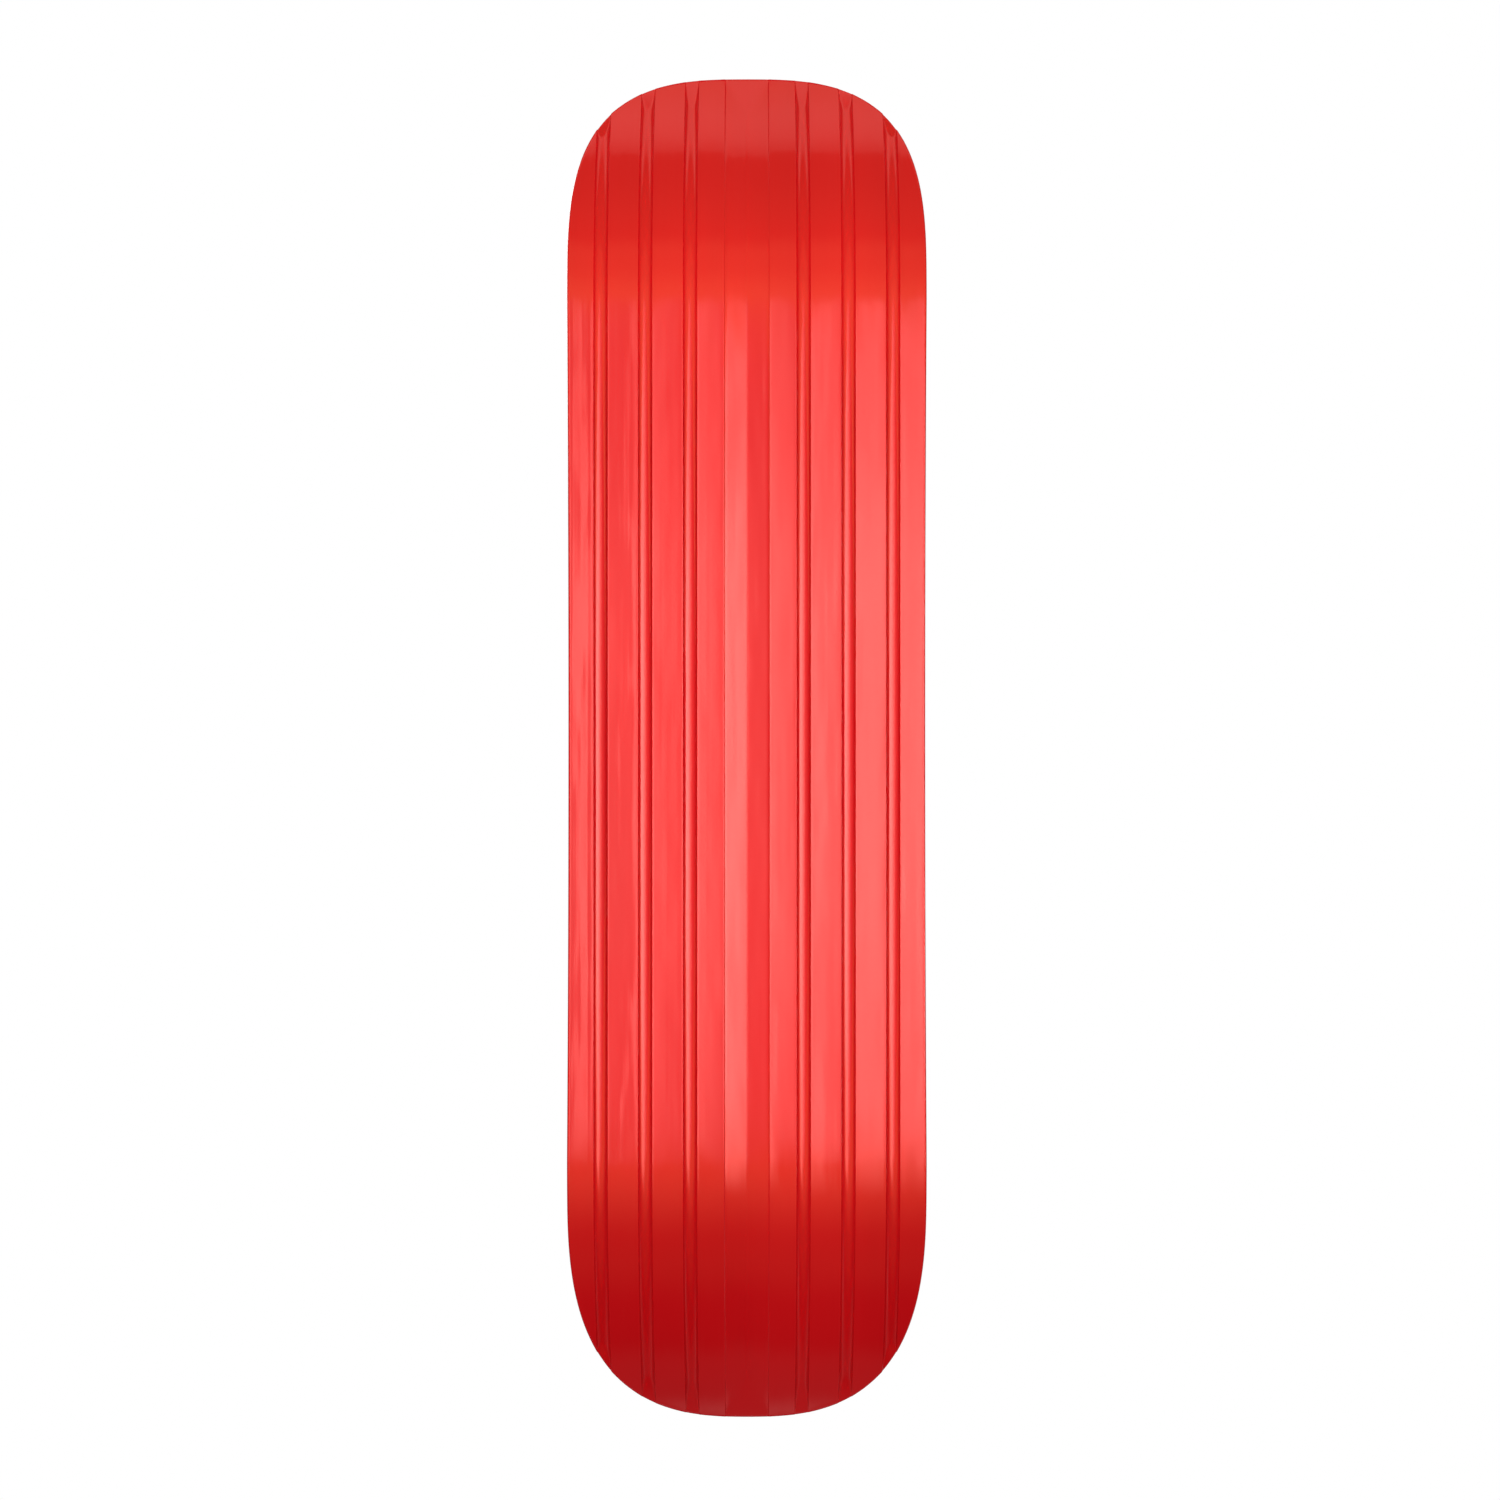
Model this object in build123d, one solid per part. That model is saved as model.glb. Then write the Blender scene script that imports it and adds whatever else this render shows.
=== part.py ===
from build123d import *
import math
import os

# A narrow ride board with an upturned nose and tail, in millimetres.
# X runs from tail to nose, Y across the board and Z up. The board stands on its running base, whose
# flat middle is at Z = 0, and the origin is halfway between the two tips.

# Plan
TIP_TO_TIP = 836.6
BOARD_WIDTH = 216.0
WAIST_INSET = 0.9  # how much each side draws in at the waist

# Layers, from the ground up
BASE_THICKNESS = 5.0
CORE_THICKNESS = 5.0
ADHESIVE_THICKNESS = 0.4
FOAM_THICKNESS = 4.0

# Cross-section: a level strip down the middle, then a rail on each side that curves up
LEVEL_HALF_WIDTH = 32.0
RAIL_CURVE_RADIUS = 1000.0

# Round channels in the running base, three on each side of the middle
CHANNEL_OFFSETS = [34.0, 60.9, 87.7]
CHANNEL_WIDTH = 8.6
CHANNEL_DEPTH = 2.5

# A channel's run-out is shorter the nearer it is to the board's edge, and would vanish at this offset.
RUNOUT_TAPER_WIDTH = 135.0

# Wide V-shaped channel down the middle of the running base
KEEL_HALF_WIDTH = 13.6
KEEL_EDGE_RUN = 0.5
KEEL_EDGE_DEPTH = 0.5
KEEL_DEPTH = 2.6
KEEL_VALLEY_RADIUS = 12.0

# Foam pads
PAD_EDGE_MARGIN = 12.0  # bare deck between a pad and the board's edge
PAD_GAP = 12.0  # bare deck between one pad and the next
PAD_CORNER_RADIUS = 6.0
FLAT_PAD_NAMES = ["rear_pad", "centre_pad", "front_pad"]

# Sizes that only have to reach past the material they cut
CUT_MARGIN = 10.0
CUTTER_BOTTOM = -5.0
CUTTER_TOP = 80.0
SLOPE_BLOCK = 300.0
OUTLINE_POINTS = 12  # points of the end curve on each side of the tip


class End:
    """One upturned end: the flat board bent round an axis across it, and cut to a rounded outline."""

    def __init__(self, side, bend_radius, tip_angle, round_length, squareness, runout_length):
        self.side = side  # +1 for the nose, -1 for the tail
        self.bend_radius = bend_radius
        self.tip_angle = tip_angle  # slope of the base at the tip, in degrees
        self.round_length = round_length  # length of the rounded outline, along the base
        self.squareness = squareness  # exponent of the outline curve, 2 for an ellipse
        self.runout_length = runout_length  # how far before the tip the middle channel starts to slope
        self.bend_length = bend_radius * math.radians(tip_angle)
        self.bend_start = TIP_TO_TIP / 2 - bend_radius * math.sin(math.radians(tip_angle))
        self.tip = self.bend_start + self.bend_length  # along the flat board, from its middle

    def reach(self, across):
        """How far along the flat board the outline lies, at a place across it."""
        share = abs(across) / (BOARD_WIDTH / 2)
        rounded = (1 - share**self.squareness) ** (1 / self.squareness)
        return self.tip - self.round_length * (1 - rounded)

    def bent_point(self, along, across, height):
        """Where a point of the flat board comes to lie once the board is bent."""
        angle = (along - self.bend_start) / self.bend_radius
        arm = self.bend_radius - surface_height(across, height)
        x = self.bend_start + arm * math.sin(angle)
        return Vector(self.side * x, across, self.bend_radius - arm * math.cos(angle))


NOSE = End(side=1, bend_radius=253.0, tip_angle=35.85, round_length=142.5, squareness=2.80, runout_length=29.0)
TAIL = End(side=-1, bend_radius=294.0, tip_angle=35.6, round_length=159.5, squareness=2.55, runout_length=38.0)


def surface_height(y, height):
    """Height of the surface that lies the given height above the base's own underside."""
    beyond = max(abs(y) - LEVEL_HALF_WIDTH, 0.0)
    return RAIL_CURVE_RADIUS - math.sqrt((RAIL_CURVE_RADIUS - height) ** 2 - beyond**2)


def layer_section(bottom, top):
    """Cross-section of one layer of the board, a little wider than the board."""
    edge = BOARD_WIDTH / 2 + CUT_MARGIN
    middle_of_rail = (LEVEL_HALF_WIDTH + edge) / 2

    def rail(side, height):
        points = [(side * y, surface_height(y, height)) for y in (LEVEL_HALF_WIDTH, middle_of_rail, edge)]
        return ThreePointArc(*points)

    curves = []
    for height in (bottom, top):
        curves += [rail(-1, height), rail(1, height)]
        curves += [Line((-LEVEL_HALF_WIDTH, height), (LEVEL_HALF_WIDTH, height))]
    for side in (-1, 1):
        low = (side * edge, surface_height(edge, bottom))
        high = (side * edge, surface_height(edge, top))
        curves += [Line(low, high)]
    return make_face(curves)


def channel_circle(offset):
    """Circle that cuts one round channel, with its centre below the base on the line square to it."""
    radius = ((CHANNEL_WIDTH / 2) ** 2 + CHANNEL_DEPTH**2) / (2 * CHANNEL_DEPTH)
    slope = math.asin((abs(offset) - LEVEL_HALF_WIDTH) / RAIL_CURVE_RADIUS)
    below = radius - CHANNEL_DEPTH
    across = offset + math.copysign(below * math.sin(slope), offset)
    up = surface_height(offset, 0.0) - below * math.cos(slope)
    return Pos(across, up) * Circle(radius)


def keel_profile():
    """The V-shaped channel's own section: two small steps, two long slopes and a rounded valley."""
    inner = KEEL_HALF_WIDTH - KEEL_EDGE_RUN
    outline = Polyline(
        (-KEEL_HALF_WIDTH, -CUT_MARGIN),
        (-KEEL_HALF_WIDTH, 0),
        (-inner, KEEL_EDGE_DEPTH),
        (0, KEEL_DEPTH),
        (inner, KEEL_EDGE_DEPTH),
        (KEEL_HALF_WIDTH, 0),
        (KEEL_HALF_WIDTH, -CUT_MARGIN),
        close=True,
    )
    profile = make_face(outline)
    valley = profile.vertices().sort_by(Axis.Y)[-1]
    return fillet(valley, KEEL_VALLEY_RADIUS)


def stand_across(section, x):
    """Puts a cross-section drawn in Y and Z at a place along the board."""
    return Pos(x, 0, 0) * (Plane.YZ * section)


def end_outline(end, inset, start, height):
    """The end's outline on a level plane, spread so that the cut stays square to the bent base."""
    reach = end.round_length - inset
    half = BOARD_WIDTH / 2 - inset
    round_start = end.bend_length - end.round_length

    def place(along, across):
        angle = along / end.bend_radius
        x = end.bend_start + (end.bend_radius - height) * math.tan(angle)
        return (end.side * x, across)

    curve = []
    for step in range(-OUTLINE_POINTS, OUTLINE_POINTS + 1):
        turn = math.radians(90) * step / OUTLINE_POINTS
        along = reach * math.cos(turn) ** (2 / end.squareness)
        across = math.copysign(half * abs(math.sin(turn)) ** (2 / end.squareness), turn)
        curve.append(place(round_start + along, across))
    # cos(90 degrees) leaves a trace of length, so both ends of the curve are placed exactly.
    curve[0] = place(round_start, -half)
    curve[-1] = place(round_start, half)
    arc = Spline(*curve, tangents=[(end.side, 0), (-end.side, 0)])
    corners = [place(start, -half), place(start, half)]
    sides = [Line(curve[0], corners[0]), Line(corners[0], corners[1]), Line(corners[1], curve[-1])]
    return Pos(0, 0, height) * make_face([arc] + sides)


def end_cutter(end, inset=0.0, start=0.0, corner=0.0):
    """Solid that leaves the end's outline when it is kept in common with a bent layer."""
    faces = []
    for height in (CUTTER_BOTTOM, CUTTER_TOP):
        face = end_outline(end, inset, start, height)
        if corner:
            inner_corners = face.vertices().group_by(Axis.X)[0 if end.side > 0 else -1]
            face = fillet(inner_corners, corner)
        faces.append(face.faces()[0])
    return loft(faces, ruled=True)


def bent_part(end, section, start, stop):
    """A cross-section swept round the end's bend, between two places along the flat board."""
    centre = (end.side * end.bend_start, 0, end.bend_radius)
    axis = Axis(centre, (0, -end.side, 0))
    first = math.degrees((start - end.bend_start) / end.bend_radius)
    last = math.degrees((stop - end.bend_start) / end.bend_radius)
    part = revolve(stand_across(section, end.side * end.bend_start), axis, last - first)
    return part.rotate(axis, first)


def bent_end(end, section):
    """A cross-section swept round the end's whole bend, and just past the tip."""
    return bent_part(end, section, end.bend_start, end.tip + CUT_MARGIN)


def middle_cutter():
    """Prism of the level middle's outline, whose two sides are shallow arcs."""
    half = BOARD_WIDTH / 2
    middle = (NOSE.bend_start - TAIL.bend_start) / 2
    sides = []
    for side in (-1, 1):
        tail_corner = (-TAIL.bend_start, side * half)
        waist = (middle, side * (half - WAIST_INSET))
        nose_corner = (NOSE.bend_start, side * half)
        sides.append(ThreePointArc(tail_corner, waist, nose_corner))
    tail_line = Line((-TAIL.bend_start, -half), (-TAIL.bend_start, half))
    nose_line = Line((NOSE.bend_start, -half), (NOSE.bend_start, half))
    outline = make_face(sides + [tail_line, nose_line])
    return extrude(Pos(0, 0, CUTTER_BOTTOM) * outline, CUTTER_TOP - CUTTER_BOTTOM)


def full_layer(section):
    """One layer over the board's whole length: the level middle and both upturned ends, as one solid."""
    length = TAIL.bend_start + NOSE.bend_start
    layer = extrude(stand_across(section, -TAIL.bend_start), length) & middle_cutter()
    for end in (NOSE, TAIL):
        layer += bent_end(end, section) & end_cutter(end)
    return layer


def below_slope(end, offset, half_width, depth, runout):
    """Block below the plane on which a channel slopes up to the outline, where it runs out."""
    places = (offset - half_width, offset + half_width)
    left, right = (end.bent_point(end.reach(across), across, 0.0) for across in places)
    inner = end.bent_point(end.reach(offset) - runout, offset, depth)
    upward = (right - left).cross(inner - left)
    if upward.Z < 0:
        upward = -upward
    plane = Plane(origin=inner, x_dir=right - left, z_dir=upward)
    return plane * Pos(0, 0, -SLOPE_BLOCK / 2) * Box(SLOPE_BLOCK, SLOPE_BLOCK, SLOPE_BLOCK)


def channel_end(end, profile, offset, half_width, depth):
    """Cutter for a channel on an upturned end: at full depth first, then sloping up to the outline."""
    runout = end.runout_length * (1 - abs(offset) / RUNOUT_TAPER_WIDTH)
    slant = abs(end.reach(offset - half_width) - end.reach(offset + half_width)) / 2
    slope_start = end.reach(offset) - runout - slant
    full = bent_part(end, profile, end.bend_start, slope_start)
    sloping = bent_part(end, profile, slope_start, end.tip + CUT_MARGIN)
    return full + (sloping & below_slope(end, offset, half_width, depth, runout))


def channel_cutter(profile, offset, half_width, depth):
    """Cutter for one channel over the board's whole length."""
    length = TAIL.bend_start + NOSE.bend_start
    cutter = extrude(stand_across(profile, -TAIL.bend_start), length)
    for end in (NOSE, TAIL):
        cutter += channel_end(end, profile, offset, half_width, depth)
    return cutter


def running_base():
    """The running base with its seven channels."""
    base = full_layer(layer_section(0.0, BASE_THICKNESS))
    base -= channel_cutter(keel_profile(), 0.0, KEEL_HALF_WIDTH, KEEL_DEPTH)
    for offset in CHANNEL_OFFSETS:
        for side in (-1, 1):
            profile = channel_circle(side * offset)
            base -= channel_cutter(profile, side * offset, CHANNEL_WIDTH / 2, CHANNEL_DEPTH)
    return base


def flat_pad_layer(section, index):
    """One layer of a pad on the level middle. The pads there share the length between the bends."""
    count = len(FLAT_PAD_NAMES)
    share = (TAIL.bend_start + NOSE.bend_start) / count
    length = share - PAD_GAP
    width = BOARD_WIDTH - 2 * PAD_EDGE_MARGIN
    centre = -TAIL.bend_start + share * (index + 0.5)
    strip = extrude(stand_across(section, centre - length / 2), length)
    outline = Pos(centre, 0, CUTTER_BOTTOM) * RectangleRounded(length, width, PAD_CORNER_RADIUS)
    return strip & extrude(outline, CUTTER_TOP - CUTTER_BOTTOM)


def end_pad_layer(end, section):
    """One layer of a pad on an upturned end."""
    cutter = end_cutter(end, PAD_EDGE_MARGIN, PAD_GAP / 2, PAD_CORNER_RADIUS)
    return bent_end(end, section) & cutter


def write(name, shape):
    """Writes one named piece."""
    solids = shape.solids()
    if len(solids) != 1:
        raise ValueError(f"{name} came out as {len(solids)} solids")
    export_step(solids[0], f"parts/{name}.step")


def main():
    os.makedirs("parts", exist_ok=True)
    base_top = BASE_THICKNESS
    deck_top = base_top + CORE_THICKNESS
    adhesive_top = deck_top + ADHESIVE_THICKNESS
    foam_top = adhesive_top + FOAM_THICKNESS
    write("running_base", running_base())
    write("deck_core", full_layer(layer_section(base_top, deck_top)))

    pad_sections = {
        "_adhesive": layer_section(deck_top, adhesive_top),
        "": layer_section(adhesive_top, foam_top),
    }
    for suffix, section in pad_sections.items():
        for index, name in enumerate(FLAT_PAD_NAMES):
            write(name + suffix, flat_pad_layer(section, index))
        write("nose_pad" + suffix, end_pad_layer(NOSE, section))
        write("tail_pad" + suffix, end_pad_layer(TAIL, section))


main()
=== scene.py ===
import math

import bmesh
import bpy
import numpy as np
from mathutils import Matrix, Vector


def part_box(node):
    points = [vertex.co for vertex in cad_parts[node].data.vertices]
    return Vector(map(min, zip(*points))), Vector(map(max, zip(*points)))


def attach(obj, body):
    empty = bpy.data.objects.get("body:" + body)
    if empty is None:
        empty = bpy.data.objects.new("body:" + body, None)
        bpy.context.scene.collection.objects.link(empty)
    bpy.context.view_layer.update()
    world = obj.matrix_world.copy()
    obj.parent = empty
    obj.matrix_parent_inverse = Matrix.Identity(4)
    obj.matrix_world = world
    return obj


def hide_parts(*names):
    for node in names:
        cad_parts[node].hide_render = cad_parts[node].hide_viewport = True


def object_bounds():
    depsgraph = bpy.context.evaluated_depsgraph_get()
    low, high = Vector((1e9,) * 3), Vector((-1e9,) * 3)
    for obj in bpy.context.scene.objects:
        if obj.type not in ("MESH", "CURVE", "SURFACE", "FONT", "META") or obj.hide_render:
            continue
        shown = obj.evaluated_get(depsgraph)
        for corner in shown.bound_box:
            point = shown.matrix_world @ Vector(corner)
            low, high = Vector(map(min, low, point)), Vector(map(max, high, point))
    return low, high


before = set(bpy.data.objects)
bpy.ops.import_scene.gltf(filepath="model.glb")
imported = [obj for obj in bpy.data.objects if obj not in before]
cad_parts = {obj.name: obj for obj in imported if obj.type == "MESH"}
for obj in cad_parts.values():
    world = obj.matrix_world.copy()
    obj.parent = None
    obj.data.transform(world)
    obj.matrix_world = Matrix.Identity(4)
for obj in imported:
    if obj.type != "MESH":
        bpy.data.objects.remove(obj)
cad_low, cad_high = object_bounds()

# Shapes are worked out in millimetres on the flat board, as a place along it, a place across it and a
# height above the underside of its base. place() bends that board into its real form, in metres.
MM = 0.001

# Layers and width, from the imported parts
BOARD_WIDTH = (cad_high.y - cad_low.y) / MM
BASE_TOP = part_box("deck_core")[0].z / MM
DECK_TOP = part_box("centre_pad_adhesive")[0].z / MM
FILM_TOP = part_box("centre_pad")[0].z / MM
FOAM_THICKNESS = 4.0
PAD_TOP = FILM_TOP + FOAM_THICKNESS

# Form of the board
TIP_TO_TIP = 836.6
WAIST_INSET = 0.9
LEVEL_HALF_WIDTH = 32.0
RAIL_CURVE_RADIUS = 1000.0

# Round channels and the V-shaped channel of the base
CHANNEL_OFFSETS = [34.0, 60.9, 87.7]
CHANNEL_HALF_WIDTH = 4.3
CHANNEL_DEPTH = 2.5
KEEL_HALF_WIDTH = 13.6
KEEL_EDGE_RUN = 0.5
KEEL_EDGE_DEPTH = 0.5
KEEL_DEPTH = 2.6
KEEL_VALLEY_RADIUS = 12.0
LIP_REACH = 0.14  # how far a channel's rounded lip reaches to each side of its corner
RUNOUT_TAPER_WIDTH = 135.0  # a channel this far from the middle would have no run-out at all
RUNOUT_SOFTNESS = 0.12  # how gently a channel's floor bends into its run-out

# Moulding detail of the bands between the channels
BAND_DISH = 0.14  # how far the middle of a band is drawn in
LIP_BEAD = 0.06  # how far a channel's lip stands out from the band beside it
LIP_BEAD_WIDTH = 0.35

# Edges
BASE_EDGE_RADIUS = 1.2
SEAM_CHAMFER = 0.3
DECK_EDGE_RADIUS = 2.2
SHARP_ANGLE = math.radians(40)  # edges that turn by more than this are shaded sharp

# Fineness of the meshes
EDGE_STEPS = 5  # along a rounded edge
LIP_STEPS = 4  # along a channel's rounded lip
CHANNEL_POINTS = 15  # across a round channel's arc
VALLEY_STEPS = 8  # across the V-shaped channel's rounded valley
BAND_POINTS = 6  # across the middle of a band
INNER_COLUMNS = 13  # from a plain layer's middle to where the outermost channel ends
CORNER_STEPS = 8  # along a pad's rounded corner
TIP_STEPS = 60  # along an end pad's rounded outline
OUTER_COLUMNS = 22  # between the outermost channel and the board's edge
EVEN_ROWS_REACH = 200.0  # rows run straight across the board up to here, then fan out to the outline
EVEN_ROWS = 15
BEND_ROWS = 42
TIP_ROWS = 20
TIP_ROWS_START = 0.86  # share of the way to the tip at which the rows draw closer together

# Foam pads
PAD_EDGE_MARGIN = 12.0
PAD_GAP = 12.0
PAD_CORNER_RADIUS = 6.0
PAD_SHOULDER = 1.4  # radius of a pad's upper edge
DIAMOND_ANGLE = math.radians(32)  # between the foam's grooves and the board's length
DIAMOND_PITCH = 13.0
FOAM_GROOVE_DEPTH = 1.3
FOAM_GROOVE_FLOOR = 0.45  # half width of a groove's level floor
FOAM_GROOVE_TOP = 1.25  # half width of a groove at the foam's surface
FOAM_ROUNDING = 0.55  # how far the rounded shoulder beside a groove reaches
FOAM_GROOVE_RUN = FOAM_GROOVE_TOP + FOAM_ROUNDING - FOAM_GROOVE_FLOOR
FOAM_WALL_CURVE = 1.6  # how hollow a groove's sloping sides are, where 1 is straight
FLAT_PADS = ("rear_pad", "centre_pad", "front_pad")


class End:
    """One upturned end: how it bends and how its outline is rounded."""

    def __init__(self, side, bend_radius, tip_angle, round_length, squareness, runout_length):
        self.side = side  # +1 for the nose, -1 for the tail
        self.bend_radius = bend_radius
        self.bend_length = bend_radius * math.radians(tip_angle)
        self.bend_start = TIP_TO_TIP / 2 - bend_radius * math.sin(math.radians(tip_angle))
        self.round_length = round_length
        self.squareness = squareness
        self.tip = self.bend_start + self.bend_length  # along the flat board
        self.round_start = self.tip - round_length
        self.runout_length = runout_length  # of the V-shaped channel's slope up to the tip


NOSE = End(1, 253.0, 35.85, 142.5, 2.80, 29.0)
TAIL = End(-1, 294.0, 35.6, 159.5, 2.55, 38.0)
ENDS = (NOSE, TAIL)


# ---------------------------------------------------------------- the flat board and how it bends


def place(along, across, height):
    """Points of the bent board, in metres, for places on the flat board, in millimetres."""
    beyond = np.maximum(np.abs(across) - LEVEL_HALF_WIDTH, 0.0)
    rise = RAIL_CURVE_RADIUS - np.sqrt((RAIL_CURVE_RADIUS - height) ** 2 - beyond**2)
    x, z = along, rise
    for end in ENDS:
        angle = (end.side * along - end.bend_start) / end.bend_radius
        arm = end.bend_radius - rise
        x = np.where(angle > 0, end.side * (end.bend_start + arm * np.sin(angle)), x)
        z = np.where(angle > 0, end.bend_radius - arm * np.cos(angle), z)
    return np.stack([x, across, z], axis=-1) * MM


def end_reach(end, across, inset):
    """How far along the board its outline lies at a place across it."""
    half = BOARD_WIDTH / 2 - inset
    share = np.clip(np.abs(across) / half, 0.0, 1.0)
    return end.round_start + (end.round_length - inset) * (1 - share**end.squareness) ** (1 / end.squareness)


def side_reach(along):
    """Half the board's width at a place along it, with its slight waist."""
    middle = (NOSE.bend_start - TAIL.bend_start) / 2
    half_span = (NOSE.bend_start + TAIL.bend_start) / 2
    share = np.clip(np.abs(along - middle) / half_span, 0.0, 1.0)
    return BOARD_WIDTH / 2 - WAIST_INSET * (1 - share**2)


# ---------------------------------------------------------------- cross-section of the base


def bezier(start, corner, end, steps):
    """Points of a rounded corner, from start to end."""
    start, corner, end = (np.array(point) for point in (start, corner, end))
    shares = np.linspace(0, 1, steps + 1)[:, None]
    return (1 - shares) ** 2 * start + 2 * shares * (1 - shares) * corner + shares**2 * end


def channel_points(offset):
    """The round channel at an offset, as points (across, height), with a rounded lip on each side."""
    radius = (CHANNEL_HALF_WIDTH**2 + CHANNEL_DEPTH**2) / (2 * CHANNEL_DEPTH)
    lip_angle = math.asin(CHANNEL_HALF_WIDTH / radius) - LIP_REACH / radius
    angles = np.linspace(-lip_angle, lip_angle, CHANNEL_POINTS)
    across = offset + radius * np.sin(angles)
    height = CHANNEL_DEPTH - radius * (1 - np.cos(angles))
    arc = np.stack([across, height], axis=1)
    lips = []
    for side, touch in ((-1, arc[0]), (1, arc[-1])):
        corner = (offset + side * CHANNEL_HALF_WIDTH, 0.0)
        outside = (corner[0] + side * LIP_REACH, 0.0)
        lips.append(bezier(outside, corner, touch, LIP_STEPS)[:-1])
    return np.concatenate([lips[0], arc, lips[1][::-1]])


def keel_points():
    """Half of the V-shaped channel, from its valley to its outer lip, as points (across, height)."""
    inner = KEEL_HALF_WIDTH - KEEL_EDGE_RUN
    slope = (KEEL_DEPTH - KEEL_EDGE_DEPTH) / inner
    valley = KEEL_VALLEY_RADIUS * math.tan(math.atan(slope) / 2)

    def on_slope(across):
        return (across, KEEL_DEPTH - slope * across)

    whole_valley = bezier((-valley, on_slope(valley)[1]), (0, KEEL_DEPTH), on_slope(valley), VALLEY_STEPS)
    right_valley = whole_valley[VALLEY_STEPS // 2 :]
    slopes = [on_slope(share * inner) for share in (0.3, 0.6, 0.85)]
    step_middle = (inner + KEEL_EDGE_RUN / 2, KEEL_EDGE_DEPTH / 2)
    inner_corner = bezier(on_slope(inner - LIP_REACH), on_slope(inner), step_middle, LIP_STEPS - 1)
    outside = (KEEL_HALF_WIDTH + LIP_REACH, 0)
    outer_corner = bezier(step_middle, (KEEL_HALF_WIDTH, 0), outside, LIP_STEPS)[1:]
    return np.concatenate([right_valley, slopes, inner_corner, outer_corner])


def band_points(start, end):
    """The slightly dished band between two channels' lips, without its two end points."""
    near_lip = np.array([0.25, 0.6, 1.1])  # places close together, where the bead falls away
    clear_of_beads = 2.0
    middle = np.linspace(start + clear_of_beads, end - clear_of_beads, BAND_POINTS)
    across = np.concatenate([start + near_lip, middle, end - near_lip[::-1]])
    return np.stack([across, band_height(across, start, end)], axis=1)


def band_height(across, start, end):
    """Height of a band's surface: a shallow dish with a small bead along each lip."""
    share = (2 * across - start - end) / (end - start)
    from_lip = np.minimum(across - start, end - across)
    return BAND_DISH * (1 - share**2) + LIP_BEAD * (1 - np.exp(-from_lip / LIP_BEAD_WIDTH))


def edge_places(start):
    """Places across the board from start to its edge, spaced evenly along the nose's outline."""
    fine_steps = 2000
    turn = np.linspace(0, math.pi / 2, fine_steps)
    across = BOARD_WIDTH / 2 * np.sin(turn) ** (2 / NOSE.squareness)
    along = NOSE.round_length * np.cos(turn) ** (2 / NOSE.squareness)
    length = np.concatenate([[0], np.cumsum(np.hypot(np.diff(across), np.diff(along)))])
    wanted = np.linspace(np.interp(start, across, length), length[-1], OUTER_COLUMNS + 1)
    return np.interp(wanted, length, across)[1:]


def running_profile():
    """Half of the base's underside as points (across, height), and where its last channel ends."""
    parts = [keel_points()]
    for offset in CHANNEL_OFFSETS:
        channel = channel_points(offset)
        parts += [band_points(parts[-1][-1][0], channel[0][0]), channel]
    last_lip = parts[-1][-1][0]
    outer = edge_places(last_lip)
    parts.append(np.stack([outer, band_height(outer, last_lip, BOARD_WIDTH / 2)], axis=1))
    parts[-1][-1][1] = 0.0
    return np.concatenate(parts), last_lip


def plain_profile():
    """Half of a level surface, with the same places near the edge as the base."""
    last_plain = CHANNEL_OFFSETS[-1] + CHANNEL_HALF_WIDTH + LIP_REACH
    inner_places = np.linspace(0, last_plain, INNER_COLUMNS)
    across = np.concatenate([inner_places, edge_places(last_plain)])
    return np.stack([across, np.zeros_like(across)], axis=1), last_plain


def mirrored(half):
    """A whole profile from its right-hand half."""
    left = half[:0:-1] * np.array([-1, 1])
    return np.concatenate([left, half])


# ---------------------------------------------------------------- full-length layers


def row_shares():
    """How the mesh's rows share the length between the level middle and a tip: closer together there."""
    bend = np.linspace(0, TIP_ROWS_START, BEND_ROWS)
    tip = np.linspace(TIP_ROWS_START, 1, TIP_ROWS + 1)[1:]
    return np.concatenate([bend, tip])


def sheet(profile, last_lip, inset):
    """Places of a full-length sheet's mesh, whose edge lies a distance inside the board's outline."""
    across = profile[:, 0]
    half = BOARD_WIDTH / 2
    beyond_lip = np.maximum(np.abs(across) - last_lip, 0.0) / (half - last_lip)

    def spread(reach):
        return np.sign(across) * (np.minimum(np.abs(across), last_lip) + beyond_lip * (reach - last_lip))

    shares = row_shares()
    rows = []
    for end in (TAIL, NOSE):
        tip = end_reach(end, spread(half - inset), inset)
        fan = [end.side * (EVEN_ROWS_REACH + (tip - EVEN_ROWS_REACH) * share) for share in shares]
        rows.append(fan)
    even_places = np.linspace(-EVEN_ROWS_REACH, EVEN_ROWS_REACH, EVEN_ROWS + 2)[1:-1]
    even_rows = [np.full_like(across, along) for along in even_places]
    along = np.array(rows[0][::-1] + even_rows + rows[1])
    places = np.array([spread(side_reach(line) - inset) for line in along])
    return along, places


def perimeter(rows, columns):
    """Indices of a grid's outer loop, in order."""
    top = [(0, c) for c in range(columns)]
    right = [(r, columns - 1) for r in range(1, rows)]
    bottom = [(rows - 1, c) for c in range(columns - 2, -1, -1)]
    left = [(r, 0) for r in range(rows - 2, 0, -1)]
    loop = np.array(top + right + bottom + left)
    return loop[:, 0], loop[:, 1]


def grid_faces(rows, columns, first, flipped):
    """Quads of a grid of vertices numbered row by row."""
    r, c = np.meshgrid(np.arange(rows - 1), np.arange(columns - 1), indexing="ij")
    corner = first + r * columns + c
    quads = np.stack([corner, corner + 1, corner + columns + 1, corner + columns], axis=-1).reshape(-1, 4)
    return quads[:, ::-1] if flipped else quads


def ring_faces(lower, upper):
    """Quads between two loops of vertices."""
    return np.stack([lower, np.roll(lower, -1), np.roll(upper, -1), upper], axis=1)


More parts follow.
